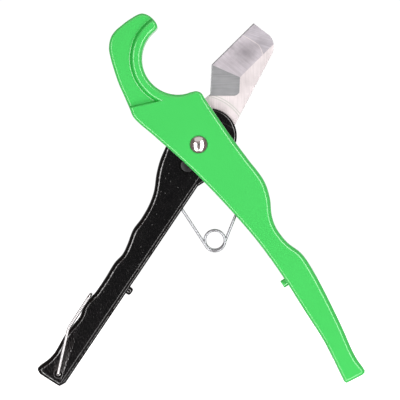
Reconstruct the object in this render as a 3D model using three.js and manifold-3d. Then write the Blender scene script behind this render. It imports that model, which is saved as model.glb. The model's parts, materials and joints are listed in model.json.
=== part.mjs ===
// A one-hand shear for plastic pipe up to 42 mm: a hooked anvil body and a blade handle on one pivot bolt.
// Millimetres. The tool plane is X (right) and Z (up), with the thickness along Y and the front towards -Y.
// Every outline is drawn from the pivot, with the handles open. The last lines stand the tool on its feet.
import * as THREE from 'three';
import { mergeVertices } from 'three/addons/utils/BufferGeometryUtils.js';
import Module from 'manifold-3d';

const wasm = await Module();
wasm.setup();

// Driving dimensions.
const PIPE_RADIUS = 21;                // the largest pipe, 42 mm across
const PIPE_CENTRE = [-12.1, 50.2];     // centre of the pipe cradle
const CLOSING_ANGLE = 54;              // degrees from the open stop to the meeting of the two pegs
const CLEARANCE = 0.3;                 // gap between pieces that rest on each other

const BODY_HALF = 8;                   // half the thickness of the hooked body
const BODY_SLOT_HALF = 5.3;            // half the gap between its two cheeks
const HANDLE_HALF = 4.5;               // half the thickness of the blade handle
const SPRING_SLOT_HALF = 2.2;          // half the width of the channels in the blade handle
const BLADE_HALF = 1.4;                // half the thickness of the blade
const BLADE_SLOT_HALF = BLADE_HALF + CLEARANCE;
const CAST_EDGE = 1.2;                 // rounding along the edges of both castings

const HUB_POCKET_RADIUS = 25.4;        // room for the hub between the cheeks
const BLADE_SWEEP_RADIUS = 79.6;       // room for the blade tip
const RIM_RADIUS = 25.7;               // outside of the raised rim round the cradle
const RIM_FOOT_RADIUS = 28.1;          // foot of the rim's slope
const HOOK_STEP = 2.8;                 // depth of the step on the outside of the hook

const BOLT_RADIUS = 3;
const BOLT_HEAD_RADIUS = 5;
const BOLT_HEAD_HEIGHT = 3;
const BOLT_DOME_HEIGHT = 2.2;          // the domed part of the head, above a short round side
const HEAD_RECESS = 0.5;
const BUSH_RADIUS = 4.5;
const SHIM_RADIUS = 8;
const SHIM_THICKNESS = 0.5;
const WASHER_THICKNESS = 1;
const NUT_HEIGHT = 4;
const INSERT_HEIGHT = 1.4;

const BLADE_SCREW = [-6.4, -12];       // centre of the screw that locks the blade to its handle
const SCREW_RADIUS = 2;
const SCREW_HEAD_RADIUS = 4;
const SCREW_RECESS_RADIUS = 5.2;
const SCREW_RECESS_DEPTH = 1.7;

const BEVEL_WIDTH = 17;                // width of the ground bevel of the blade
const BEVEL_FOOT = 28.7;               // height at which the bevel ends
const EDGE_HALF = 0.15;                // half the thickness left at the cutting edge

const SPRING_WIRE = 0.8;               // wire radius
const SPRING_CENTRE = [9.5, -55.9];
const SPRING_RADIUS = 5.9;             // mean radius of the coil
const SPRING_PITCH = 1.7;
const BAIL_WIRE = 0.9;                 // wire radius
const BAIL_PIVOT = [-82, -134];
const BAIL_HALF_WIDTH = BODY_HALF + BAIL_WIRE + CLEARANCE;

const PEG_RADIUS = 2.4;

const GREEN = new THREE.MeshStandardMaterial({ color: 0x35c851, roughness: 0.42, metalness: 0 });
const BLACK = new THREE.MeshStandardMaterial({ color: 0x141416, roughness: 0.25, metalness: 0 });
const GROUND_STEEL = new THREE.MeshStandardMaterial({ color: 0xcfcaca, roughness: 0.35, metalness: 1 });
const POLISHED_STEEL = new THREE.MeshStandardMaterial({ color: 0xd9d6d2, roughness: 0.08, metalness: 1 });
const WIRE_STEEL = new THREE.MeshStandardMaterial({ color: 0xc8c8ca, roughness: 0.2, metalness: 1 });
const DARK_STEEL = new THREE.MeshStandardMaterial({ color: 0x4c4c50, roughness: 0.4, metalness: 1 });
const ZINC_STEEL = new THREE.MeshStandardMaterial({ color: 0xb9bcc0, roughness: 0.3, metalness: 1 });
const NYLON = new THREE.MeshStandardMaterial({ color: 0x2b4fa0, roughness: 0.5, metalness: 0 });

// ---- Solids ----

function solidOf(geometry) {
  const bare = geometry.clone();
  bare.deleteAttribute('normal');
  bare.deleteAttribute('uv');
  const merged = mergeVertices(bare, 1e-4);
  return new wasm.Manifold(new wasm.Mesh({
    numProp: 3,
    vertProperties: new Float32Array(merged.attributes.position.array),
    triVerts: new Uint32Array(merged.index.array),
  }));
}

function geometryOf(solid) {
  const mesh = solid.getMesh();
  const geometry = new THREE.BufferGeometry();
  geometry.setAttribute('position', new THREE.BufferAttribute(new Float32Array(mesh.vertProperties), 3));
  geometry.setIndex(new THREE.BufferAttribute(new Uint32Array(mesh.triVerts), 1));
  geometry.computeVertexNormals();
  return geometry;
}

// A plate of the given outline between two depths along Y, with rounded edges if edge > 0.
function plate(outline, front, back, edge = 0) {
  const shape = new THREE.Shape(outline.map(([x, z]) => new THREE.Vector2(x, z)));
  const geometry = new THREE.ExtrudeGeometry(shape, {
    depth: back - front - 2 * edge,
    bevelEnabled: edge > 0,
    bevelThickness: edge,
    bevelSize: edge,
    bevelOffset: -edge,
    bevelSegments: 2,
  });
  geometry.translate(0, 0, edge - back);
  geometry.rotateX(Math.PI / 2);
  return solidOf(geometry);
}

// A round solid on an axis along Y through a point of the tool plane. The profile lists [radius, y].
function turned(profile, [x, z] = [0, 0], sides = 32) {
  const geometry = new THREE.LatheGeometry(profile.map(([r, y]) => new THREE.Vector2(r, y)), sides);
  geometry.translate(x, 0, z);
  const solid = solidOf(geometry);
  if (solid.volume() > 0) return solid;
  geometry.setIndex([...geometry.index.array].reverse());
  return solidOf(geometry);
}

function disc(radius, front, back, centre, sides) {
  return turned([[0, front], [radius, front], [radius, back], [0, back]], centre, sides);
}

function ring(inner, outer, front, back, centre, sides) {
  const profile = [[inner, front], [outer, front], [outer, back], [inner, back], [inner, front]];
  return turned(profile, centre, sides);
}

// A round wire along a path.
function wire(path, radius, steps) {
  const section = new THREE.Shape();
  section.absarc(0, 0, radius, 0, 2 * Math.PI);
  return new THREE.ExtrudeGeometry(section, { steps, curveSegments: 4, extrudePath: path });
}

// ---- Outlines ----

// Points on a smooth curve through the given points.
function smooth(points, steps = 2) {
  const through = points.map(([x, z]) => new THREE.Vector3(x, z, 0));
  const curve = new THREE.CatmullRomCurve3(through, false, 'centripetal');
  return curve.getPoints(steps * (points.length - 1)).map((p) => [p.x, p.y]);
}

// Points on an arc, with the angles in degrees, anticlockwise from +X.
function arc([x, z], radius, from, to, steps) {
  return Array.from({ length: steps + 1 }, (_, i) => {
    const angle = THREE.MathUtils.degToRad(from + (to - from) * i / steps);
    return [x + radius * Math.cos(angle), z + radius * Math.sin(angle)];
  });
}

// A point of the blade handle, moved to where it is when the tool is closed.
function whenClosed([x, z]) {
  const angle = THREE.MathUtils.degToRad(CLOSING_ANGLE);
  return [x * Math.cos(angle) - z * Math.sin(angle), x * Math.sin(angle) + z * Math.cos(angle)];
}

// A point moved away from the centre of the pipe cradle.
function awayFromPipe([x, z], distance) {
  const dx = x - PIPE_CENTRE[0];
  const dz = z - PIPE_CENTRE[1];
  const scale = 1 + distance / Math.hypot(dx, dz);
  return [PIPE_CENTRE[0] + dx * scale, PIPE_CENTRE[1] + dz * scale];
}

function bodyOutline() {
  const hookBackAndInnerEdge = smooth([
    [-25, 66.9], [-24.1, 68.3], [-24.3, 69.9], [-25.4, 71.8], [-28.4, 75], [-33.4, 76.7], [-40.8, 73],
    [-45.3, 69.6], [-49, 66.3], [-51.4, 62.6], [-52.5, 56.5], [-51.6, 51], [-47.1, 36.5], [-43.5, 28.3],
    [-40.1, 20.5], [-38.2, 16.1], [-33.7, 11.5], [-28.4, 7.1], [-10.6, -8.5], [2.9, -21.5], [21.4, -41.2],
    [35.8, -58.3], [50.2, -78.6], [62.2, -97.4], [73.7, -115.6], [84.2, -136.7],
  ]);
  const handleEnd = [[84.8, -138.1], [86.3, -139], [95.5, -134.3], [96.8, -133], [96.9, -131.7]];
  const outerEdge = smooth([
    [95.6, -129.6], [92.3, -124.9], [89.8, -120.3], [84.1, -107.3], [76.8, -92.2], [69.5, -78.1],
    [62.2, -66.1], [58.9, -62.4], [52.1, -57.3], [48.2, -52.9], [44.9, -47.8], [42.7, -41.2], [41.6, -31.1],
    [38.2, -21.1], [28.2, -7.6], [18.3, 5.7],
  ]);
  const cradleCorner = smooth([[3.4, 27.2], [1.6, 30], [-1.2, 31.2], [-5.1, 30.5]]);
  const cradle = arc(PIPE_CENTRE, PIPE_RADIUS, -76, -231.5, 24);
  return [...hookBackAndInnerEdge, ...handleEnd, ...outerEdge, ...cradleCorner, ...cradle];
}

function handleOutline() {
  const outerEdge = smooth([
    [-19.3, -1.1], [-22.5, -8.5], [-24.7, -16.7], [-26.3, -27.3], [-29, -34.9], [-33.5, -42.9],
    [-38.4, -49.6], [-41.9, -58.5], [-44.6, -63.9], [-49.1, -68.8], [-54.9, -78.2], [-61.1, -87],
    [-64.6, -90.5], [-67.5, -94.7], [-69.6, -100.3], [-74.8, -106.7], [-78.2, -111], [-84.2, -121.3],
    [-87.6, -125.1], [-93.2, -129.4], [-94.3, -131.1], [-92.9, -133.9],
  ]);
  const handleEnd = [[-82.5, -140.5], [-81.3, -141.1], [-77.8, -139.2]];
  const innerEdge = [[-0.6, -24.4], [3, -22.1]];
  const hubBottom = smooth([[12.8, -17], [18.6, -9.6]]);
  const hubBulge = arc([6, 5.1], 16.3, -20, 100, 12);
  const hubTop = smooth([[-5, 19.4], [-13.5, 13.5], [-18.4, 6]]);
  return [...outerEdge, ...handleEnd, ...innerEdge, ...hubBottom, ...hubBulge, ...hubTop];
}

const BLADE_TIP = [32.1, 71.2];
const BLADE_VERTEX = [7.5, 46.9];
const BLADE_HEEL = [6.7, 29.6];
const BLADE_SHOULDER = [3.6, 26.8];

function bladeOutline() {
  const end = smooth([[39, 65.8], [41.8, 63.6], [43.7, 59.6], [43.5, 54.4], [41.9, 51.1]]);
  const tang = smooth([
    [6.8, -16], [3.4, -18.4], [-6.4, -18.5], [-11.4, -16], [-12.9, -11], [-9.5, 6], [-3, 17],
  ]);
  return [BLADE_TIP, ...end, ...tang, BLADE_SHOULDER, [4.4, 27.9], BLADE_HEEL, BLADE_VERTEX];
}

// ---- The hooked body ----

// The step on the outside of the hook, on one face: outside the rim and above a straight lower edge.
function hookStep(side) {
  const face = side * BODY_HALF;
  const floor = side * (BODY_HALF - HOOK_STEP);
  const beyond = side * (BODY_HALF + 1);
  const aroundCradle = turned(
    [[RIM_FOOT_RADIUS, floor], [RIM_RADIUS, face], [RIM_RADIUS, beyond], [70, beyond], [70, floor],
      [RIM_FOOT_RADIUS, floor]],
    PIPE_CENTRE, 96);
  const aboveEdge = plate([[-60, 16.4], [-39.3, 21.1], [-21.6, 25.1], [-16, 100], [-80, 100]], -12, 12);
  return aroundCradle.intersect(aboveEdge);
}

// Room for the blade, from just past its closed edge to the open side of the jaw.
function bladeSweep() {
  const closedEdge = [BLADE_SHOULDER, BLADE_HEEL, BLADE_VERTEX, BLADE_TIP]
    .map(whenClosed)
    .map((point) => awayFromPipe(point, 4 * CLEARANCE));
  const tipPath = arc([0, 0], BLADE_SWEEP_RADIUS, 120, 55, 16);
  return plate([[0, 0], ...closedEdge, ...tipPath], -BLADE_SLOT_HALF, BLADE_SLOT_HALF);
}

// The two channels in the handle, open along its inner edge, with the rib of the peg between them.
function bodyChannels() {
  const upper = [
    [10, -10], [25.7, -9.3], [33, -18.5], [37.2, -26], [38.6, -33], [39.9, -42.2], [42.2, -49.6],
    [46, -55.3], [50.5, -60.3], [41.5, -66.3], [35, -70.6], [5, -45], [-15, -20],
  ];
  const lower = [
    [49, -92.7], [56.2, -88], [65.5, -81.9], [73.6, -94], [80.9, -108.7], [86.2, -121.2], [78.4, -125],
    [70, -130],
  ];
  return [upper, lower].map((outline) => plate(outline, -BODY_SLOT_HALF, BODY_SLOT_HALF));
}

// A peg that stands on a handle's edge, from inside the metal to its tip.
function peg(base, direction, height) {
  const root = 3;
  const geometry = new THREE.CylinderGeometry(PEG_RADIUS, PEG_RADIUS, root + height, 24);
  geometry.translate(0, (height - root) / 2, 0);
  geometry.rotateZ(Math.atan2(direction[1], direction[0]) - Math.PI / 2);
  geometry.rotateX(Math.PI / 2);
  geometry.translate(base[0], 0, base[1]);
  return solidOf(geometry);
}

function hookBody() {
  let solid = plate(bodyOutline(), -BODY_HALF, BODY_HALF, CAST_EDGE);
  const cuts = [
    hookStep(-1),
    hookStep(1),
    disc(HUB_POCKET_RADIUS, -BODY_SLOT_HALF, BODY_SLOT_HALF, [0, 0], 72),
    bladeSweep(),
    ...bodyChannels(),
    disc(BOLT_RADIUS + CLEARANCE, -BODY_HALF - 1, BODY_HALF + 1),
    disc(BOLT_HEAD_RADIUS + CLEARANCE, -BODY_HALF - 1, -BODY_HALF + HEAD_RECESS),
  ];
  for (const cut of cuts) solid = solid.subtract(cut);
  return solid.add(peg([51.4, -80.1], [-0.836, -0.549], 3));
}

// ---- The blade handle ----

// The pocket that holds the blade's tang, open at the top of the hub.
function tangPocket() {
  const outline = [
    [-13.8, -11], [-10.4, 6.4], [-3.8, 17.6], [5, 31], [33, 33], [13.4, -5.4], [7.8, -16.4], [4, -19.4],
    [-6.6, -19.5], [-12.1, -16.8],
  ];
  return plate(outline, -BLADE_SLOT_HALF, BLADE_SLOT_HALF);
}

function handleChannels() {
  const upper = [
    [-22.8, -27.4], [-25.9, -35.7], [-30.5, -44], [-35.3, -50.8], [-39, -59.9], [-42, -66], [-46.3, -70.3],
    [-36, -77.2], [-28, -82.5], [12, -27.4],
  ];
  const lower = [
    [-55.4, -85.6], [-62.2, -92.6], [-64.8, -96.4], [-67, -101.6], [-72.4, -108.4], [-75.6, -112.6],
    [-80.2, -120.6], [-80.2, -122.7], [-70.9, -129], [-62, -135], [-37, -98],
  ];
  return [upper, lower].map((outline) => plate(outline, -SPRING_SLOT_HALF, SPRING_SLOT_HALF));
}

function bladeHandle() {
  let solid = plate(handleOutline(), -HANDLE_HALF, HANDLE_HALF, CAST_EDGE);
  const recessFloor = HANDLE_HALF - SCREW_RECESS_DEPTH;
  const cuts = [
    tangPocket(),
    ...handleChannels(),
    disc(BUSH_RADIUS + CLEARANCE, -HANDLE_HALF - 1, HANDLE_HALF + 1),
    disc(SCREW_RADIUS + CLEARANCE, -HANDLE_HALF - 1, HANDLE_HALF + 1, BLADE_SCREW, 20),
    disc(SCREW_RECESS_RADIUS, -HANDLE_HALF - 1, -recessFloor, BLADE_SCREW),
    disc(SCREW_RECESS_RADIUS, recessFloor, HANDLE_HALF + 1, BLADE_SCREW),
    disc(BAIL_WIRE + CLEARANCE, -HANDLE_HALF - 1, HANDLE_HALF + 1, BAIL_PIVOT, 16),
  ];
  for (const cut of cuts) solid = solid.subtract(cut);
  return solid.add(peg([-41.3, -85], [0.83, -0.558], 2.6));
}

// ---- The blade ----

// What a ground bevel leaves: a bar along one cutting edge, thin there and full from the bevel's width on.
function groundSide(from, to) {
  const depth = 120;
  const section = new THREE.Shape([
    new THREE.Vector2(0, -EDGE_HALF), new THREE.Vector2(BEVEL_WIDTH, -BLADE_HALF),
    new THREE.Vector2(depth, -BLADE_HALF), new THREE.Vector2(depth, BLADE_HALF),
    new THREE.Vector2(BEVEL_WIDTH, BLADE_HALF), new THREE.Vector2(0, EDGE_HALF),
  ]);
  const geometry = new THREE.ExtrudeGeometry(section, { depth: 2 * depth, bevelEnabled: false });
  geometry.translate(0, 0, -depth);
  const along = new THREE.Vector3(to[0] - from[0], 0, to[1] - from[1]).normalize();
  const through = new THREE.Vector3(0, 1, 0);
  const inwards = new THREE.Vector3().crossVectors(through, along);
  geometry.applyMatrix4(new THREE.Matrix4().makeBasis(inwards, through, along));
  geometry.translate(from[0], 0, from[1]);
  return solidOf(geometry);
}

function blade() {
  const blank = plate(bladeOutline(), -BLADE_HALF, BLADE_HALF);
  const split = (low, high) => plate([[-40, low], [60, low], [60, high], [-40, high]], -2, 2);
  const ground = blank
    .intersect(split(BEVEL_FOOT, 90))
    .intersect(groundSide(BLADE_VERTEX, BLADE_TIP))
    .intersect(groundSide(BLADE_HEEL, BLADE_VERTEX));
  return blank
    .intersect(split(-40, BEVEL_FOOT))
    .add(ground)
    .subtract(disc(BUSH_RADIUS + CLEARANCE, -2, 2))
    .subtract(disc(SCREW_RADIUS + CLEARANCE, -2, 2, BLADE_SCREW, 20));
}

// ---- Fasteners ----

function hexagon(acrossFlats) {
  return arc([0, 0], acrossFlats / Math.sqrt(3), 0, 300, 5);
}

const NUT_FRONT = BODY_HALF + WASHER_THICKNESS + 2 * 0.1;
const NUT_BACK = NUT_FRONT + NUT_HEIGHT;

function pivotBolt() {
  const seat = -BODY_HALF + HEAD_RECESS - 0.1;
  const crown = (BOLT_HEAD_RADIUS ** 2 + BOLT_DOME_HEIGHT ** 2) / (2 * BOLT_DOME_HEIGHT);
  const halfAngle = THREE.MathUtils.radToDeg(Math.asin(BOLT_HEAD_RADIUS / crown));
  const dome = arc([0, seat - BOLT_HEAD_HEIGHT + crown], crown, -90, -90 + halfAngle, 8);
  dome[0] = [0, seat - BOLT_HEAD_HEIGHT];
  const end = NUT_BACK + INSERT_HEIGHT + 1;
  const shank = [[BOLT_RADIUS, seat], [BOLT_RADIUS, end - 0.6], [BOLT_RADIUS - 0.6, end], [0, end]];
  return turned([...dome, [BOLT_HEAD_RADIUS, seat], ...shank]);
}

function pivotBush() {
  const end = BODY_SLOT_HALF - 0.1;
  return ring(BOLT_RADIUS + CLEARANCE, BUSH_RADIUS, -end, end);
}

function hubShim(side) {
  const middle = side * (HANDLE_HALF + BODY_SLOT_HALF) / 2;
  const half = SHIM_THICKNESS / 2;
  return ring(BUSH_RADIUS + CLEARANCE, SHIM_RADIUS, middle - half, middle + half);
}

function pivotWasher() {
  const seat = BODY_HALF + 0.1;
  return ring(BOLT_RADIUS + CLEARANCE, 6, seat, seat + WASHER_THICKNESS);
}

function pivotNut() {
  const bore = disc(BOLT_RADIUS + CLEARANCE, NUT_FRONT - 1, NUT_BACK + INSERT_HEIGHT + 1);
  const collar = ring(4.6, 5, NUT_BACK - 0.5, NUT_BACK + INSERT_HEIGHT);
  return plate(hexagon(10), NUT_FRONT, NUT_BACK).subtract(bore).add(collar);
}

function bladeScrew() {
  const seat = -(HANDLE_HALF - SCREW_RECESS_DEPTH) - 0.1;
  const top = -HANDLE_HALF + 0.1;
  const end = HANDLE_HALF - 0.2;
  const head = [[0, top], [SCREW_HEAD_RADIUS - 0.4, top], [SCREW_HEAD_RADIUS, top + 0.4]];
  const shank = [[SCREW_HEAD_RADIUS, seat], [SCREW_RADIUS, seat], [SCREW_RADIUS, end], [0, end]];
  return turned([...head, ...shank], BLADE_SCREW);
}

function bladeNut() {
  const seat = HANDLE_HALF - SCREW_RECESS_DEPTH + 0.1;
  return ring(SCREW_RADIUS + CLEARANCE, SCREW_HEAD_RADIUS, seat, HANDLE_HALF - 0.1, BLADE_SCREW);
}

// ---- Wire pieces ----

class SpringPath extends THREE.Curve {
  constructor() {
    super();
    this.frontArm = 35.5;
    this.backArm = 42.5;
    this.startAngle = THREE.MathUtils.degToRad(213.2);
    this.turn = THREE.MathUtils.degToRad(484.8);
    this.coilLength = SPRING_RADIUS * this.turn;
    this.total = this.frontArm + this.coilLength + this.backArm;
  }

  getPoint(t, target = new THREE.Vector3()) {
    const distance = t * this.total - this.frontArm;
    const onCoil = THREE.MathUtils.clamp(distance, 0, this.coilLength);
    const angle = this.startAngle + onCoil / SPRING_RADIUS;
    const past = distance - onCoil;
    const turns = (onCoil / this.coilLength - 0.5) * this.turn / (2 * Math.PI);
    return target.set(
      SPRING_CENTRE[0] + SPRING_RADIUS * Math.cos(angle) - past * Math.sin(angle),
      turns * SPRING_PITCH,
      SPRING_CENTRE[1] + SPRING_RADIUS * Math.sin(angle) + past * Math.cos(angle),
    );
  }
}

// A path of straight stretches with rounded corners through the given points.
function bentPath(points, bend) {
  const path = new THREE.CurvePath();
  const corners = points.map((point) => new THREE.Vector3(...point));
  let last = corners[0];
  for (let i = 1; i < corners.length - 1; i += 1) {
    const corner = corners[i];
    const before = corner.clone().addScaledVector(corners[i - 1].clone().sub(corner).normalize(), bend);
    const after = corner.clone().addScaledVector(corners[i + 1].clone().sub(corner).normalize(), bend);
    path.add(new THREE.LineCurve3(last, before));
    path.add(new THREE.QuadraticBezierCurve3(before, corner, after));
    last = after;
  }
  path.add(new THREE.LineCurve3(last, corners.at(-1)));
  return path;
}

function lockBail() {
  const [x, z] = BAIL_PIVOT;
  const side = [
    [x, -0.8, z], [x, -BAIL_HALF_WIDTH, z], [-75.9, -BAIL_HALF_WIDTH, -107], [-62.9, -BAIL_HALF_WIDTH, -87.1],
  ];
  const otherSide = side.map(([px, py, pz]) => [px, -py, pz]).reverse();
  return wire(bentPath([...side, ...otherSide], 2.2), BAIL_WIRE, 110);
}

// ---- Assembly ----

const tool = new THREE.Group();

function place(name, shape, material) {
  const geometry = shape.isBufferGeometry ? shape : geometryOf(shape);
  const mesh = new THREE.Mesh(geometry, material);
  mesh.name = name;
  tool.add(mesh);
}

place('hook_body', hookBody(), GREEN);
place('blade_handle', bladeHandle(), BLACK);
place('blade', blade(), GROUND_STEEL);
place('blade_screw', bladeScrew(), DARK_STEEL);
place('blade_nut', bladeNut(), DARK_STEEL);
place('pivot_bolt', pivotBolt(), POLISHED_STEEL);
place('pivot_bush', pivotBush(), ZINC_STEEL);
place('hub_shim_front', hubShim(-1), ZINC_STEEL);
place('hub_shim_back', hubShim(1), ZINC_STEEL);
place('pivot_washer', pivotWasher(), ZINC_STEEL);
place('pivot_nut', pivotNut(), ZINC_STEEL);
place('nut_insert', ring(BOLT_RADIUS + 0.1, 4.5, NUT_BACK + 0.1, NUT_BACK + INSERT_HEIGHT - 0.2), NYLON);
place('torsion_spring', wire(new SpringPath(), SPRING_WIRE, 96), WIRE_STEEL);
place('lock_bail', lockBail(), WIRE_STEEL);

// The tool stands on the ends of its two handles, with the origin under the middle of its box.
const BODY_FOOT = [86.3, -139];
const HANDLE_FOOT = [-81.3, -141.1];
tool.rotation.y = Math.atan2(BODY_FOOT[1] - HANDLE_FOOT[1], BODY_FOOT[0] - HANDLE_FOOT[0]);
const standing = new THREE.Group();
standing.add(tool);
standing.updateMatrixWorld(true);
const box = new THREE.Box3().setFromObject(standing, true);
const middle = box.getCenter(new THREE.Vector3());
tool.position.set(-middle.x, -middle.y, -box.min.z);

export default standing;
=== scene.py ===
"""A one-hand pipe cutter standing open on the ends of its two handles, in a pale studio.

Pieces are drawn in the tool's own plane, in millimetres from the pivot: X to the right, Z up, Y through the
thickness with the front towards -Y. TOOL turns that into the row frame, in metres.
"""
import json
import math

import bpy
import numpy as np
from mathutils import Matrix, Vector
from mathutils.geometry import delaunay_2d_cdt


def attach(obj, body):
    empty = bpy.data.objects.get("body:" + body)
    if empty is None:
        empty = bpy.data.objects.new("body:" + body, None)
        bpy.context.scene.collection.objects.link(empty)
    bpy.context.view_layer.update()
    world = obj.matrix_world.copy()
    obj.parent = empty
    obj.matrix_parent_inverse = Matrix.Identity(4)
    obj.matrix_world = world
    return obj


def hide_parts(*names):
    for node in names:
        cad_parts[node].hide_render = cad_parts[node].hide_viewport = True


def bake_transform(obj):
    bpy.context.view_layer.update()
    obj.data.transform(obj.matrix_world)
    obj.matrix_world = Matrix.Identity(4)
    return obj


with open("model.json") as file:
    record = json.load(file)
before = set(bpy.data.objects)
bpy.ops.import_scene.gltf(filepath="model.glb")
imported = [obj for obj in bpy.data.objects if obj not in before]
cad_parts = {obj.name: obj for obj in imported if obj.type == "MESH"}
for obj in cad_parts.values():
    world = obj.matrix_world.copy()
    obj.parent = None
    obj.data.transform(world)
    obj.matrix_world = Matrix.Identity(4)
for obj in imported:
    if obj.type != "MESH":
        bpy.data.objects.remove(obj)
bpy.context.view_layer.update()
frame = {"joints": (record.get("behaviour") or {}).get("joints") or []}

# ---- Driving dimensions, mm ----

PIPE_CENTRE = (-12.1, 50.2)
PIPE_RADIUS = 21.0
BODY_HALF = 8.0
BODY_SLOT_HALF = 5.3
HANDLE_HALF = 4.5
SPRING_SLOT_HALF = 2.2
BLADE_HALF = 1.4
CLEARANCE = 0.3
BLADE_SLOT_HALF = BLADE_HALF + CLEARANCE
CLOSING_ANGLE = math.radians(54)

HUB_POCKET_RADIUS = 25.4
BLADE_SWEEP_RADIUS = 79.6
RIM_RADIUS = 25.7
RIM_FOOT_RADIUS = 28.1
HOOK_STEP = 2.8

BOLT_RADIUS = 3.0
BOLT_HEAD_RADIUS = 5.0
BOLT_HEAD_HEIGHT = 3.0
BOLT_DOME_HEIGHT = 2.2
BOLT_STANDOUT = 1.0
HEAD_RECESS = 0.5
BUSH_RADIUS = 4.5
SHIM_RADIUS = 8.0
SHIM_THICKNESS = 0.5
WASHER_RADIUS = 6.0
WASHER_THICKNESS = 1.0
NUT_ACROSS_FLATS = 10.0
NUT_HEIGHT = 4.0
COLLAR_HEIGHT = 1.4
COLLAR_RADIUS = 5.0
COLLAR_BORE = 4.6
INSERT_RADIUS = 4.5
FIT = 0.1  # gap between bearing faces

BLADE_SCREW = (-6.4, -12.0)
SCREW_RADIUS = 2.0
SCREW_HEAD_RADIUS = 4.0
SCREW_RECESS_RADIUS = 5.2
SCREW_RECESS_DEPTH = 1.7
SCREW_SEAT = HANDLE_HALF - SCREW_RECESS_DEPTH

BEVEL_WIDTH = 17.0
BEVEL_FOOT = 28.7
EDGE_HALF = 0.15

SPRING_WIRE = 0.8
SPRING_CENTRE = (9.5, -55.9)
SPRING_RADIUS = 5.9
SPRING_PITCH = 1.7
SPRING_LEAN = 0.4  # how far the coil's turns sit below each other, per mm of depth
SPRING_FRONT_ARM = 35.5
SPRING_BACK_ARM = 42.5
BAIL_WIRE = 0.9
BAIL_PIVOT = (-82.0, -134.0)
BAIL_HALF_WIDTH = BODY_HALF + BAIL_WIRE + CLEARANCE

PEG_RADIUS = 2.4
PEG_ROOT = 3.0  # the part inside the handle
SOFT = 0.35  # width of the strip that keeps a rounding's shading off the flat
CREASE = math.radians(12.5)  # how steeply a rounded edge leaves the face
BLACK_CREASE = math.radians(13.5)
CREASE_BLEND = 0.5  # width of the curve into the face

BODY_FOOT = (86.3, -139.0)
HANDLE_FOOT = (-81.3, -141.1)
LEVEL = math.atan2(BODY_FOOT[1] - HANDLE_FOOT[1], BODY_FOOT[0] - HANDLE_FOOT[0])

PIVOT = next(Vector(joint["pos_m"]) for joint in frame["joints"] if joint["name"] == "handle_pivot")
TOOL = Matrix.Translation(PIVOT) @ Matrix.Rotation(LEVEL, 4, "Y") @ Matrix.Scale(0.001, 4)


# ---- Curves in the tool plane ----

def smooth(points, spacing=0.7):
    """Points on a centripetal curve through the given points, about spacing mm apart."""
    p = np.array(points, float)
    p = np.vstack([2 * p[0] - p[1], p, 2 * p[-1] - p[-2]])
    out = []
    for i in range(1, len(p) - 2):
        a, b, c, d = p[i - 1:i + 3]
        before = math.sqrt(np.linalg.norm(b - a))
        along = math.sqrt(np.linalg.norm(c - b))
        after = math.sqrt(np.linalg.norm(d - c))
        start = ((b - a) / before - (c - a) / (before + along) + (c - b) / along) * along
        stop = ((c - b) / along - (d - b) / (along + after) + (d - c) / after) * along
        count = max(1, round(np.linalg.norm(c - b) / spacing))
        t = np.arange(count)[:, None] / count
        square = 3 * (c - b) - 2 * start - stop
        cube = 2 * (b - c) + start + stop
        out.append(b + start * t + square * t ** 2 + cube * t ** 3)
    return np.vstack(out + [p[-2:-1]])


def arc(centre, radius, start, stop, spacing=0.7):
    """Points on an arc, angles in degrees anticlockwise from +X."""
    count = max(2, round(abs(math.radians(stop - start)) * radius / spacing))
    angles = np.radians(np.linspace(start, stop, count + 1))
    return np.array(centre) + radius * np.column_stack([np.cos(angles), np.sin(angles)])


def straight(points, spacing=1.5):
    """Points along straight lines between the given points."""
    out = []
    for a, b in zip(points[:-1], points[1:]):
        count = max(1, round(math.dist(a, b) / spacing))
        out += [np.array(a) + (np.array(b) - np.array(a)) * i / count for i in range(count)]
    return np.array(out + [np.array(points[-1], float)])


def rotated(point, angle):
    """A point turned anticlockwise about the pivot."""
    x, z = point
    return (x * math.cos(angle) - z * math.sin(angle), x * math.sin(angle) + z * math.cos(angle))


def away_from_pipe(point, distance):
    """A point moved straight away from the pipe's centre."""
    ray = np.array(point) - np.array(PIPE_CENTRE)
    return tuple(np.array(PIPE_CENTRE) + ray * (1 + distance / np.linalg.norm(ray)))


def line_frame(line):
    """A line's start, its direction, and the direction to its left."""
    start, stop = np.array(line, float)
    along = (stop - start) / np.linalg.norm(stop - start)
    return start, along, np.array([-along[1], along[0]])


def left_of(places, line):
    """How far each place lies to the left of a line."""
    start, _, left = line_frame(line)
    return (places - start) @ left


def beside(line, offset, overrun):
    """A line moved to its left by an offset, and made longer at both ends."""
    start, along, left = line_frame(line)
    ends = np.array([start - overrun * along, np.array(line[1]) + overrun * along])
    return ends + offset * left


def joined(stretches):
    """One closed outline from (points, edge radius) stretches, with the radii eased together."""
    points = np.vstack([p for p, _ in stretches])
    radii = np.concatenate([np.full(len(p), float(r)) for p, r in stretches])
    gaps = np.linalg.norm(points - np.roll(points, 1, axis=0), axis=1)
    points, radii = points[gaps > 1e-3], radii[gaps > 1e-3]
    reach = 5
    eased = sum(np.roll(radii, k) for k in range(-reach, reach + 1)) / (2 * reach + 1)
    return points, eased


# ---- Meshes ----

def mesh_object(name, vertices, faces):
    mesh = bpy.data.meshes.new(name)
    vertices = [tuple(map(float, v)) for v in vertices]
    mesh.from_pydata(vertices, [], [tuple(map(int, f)) for f in faces])
    mesh.update()
    piece = bpy.data.objects.new(name, mesh)
    bpy.context.scene.collection.objects.link(piece)
    return piece


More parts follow.
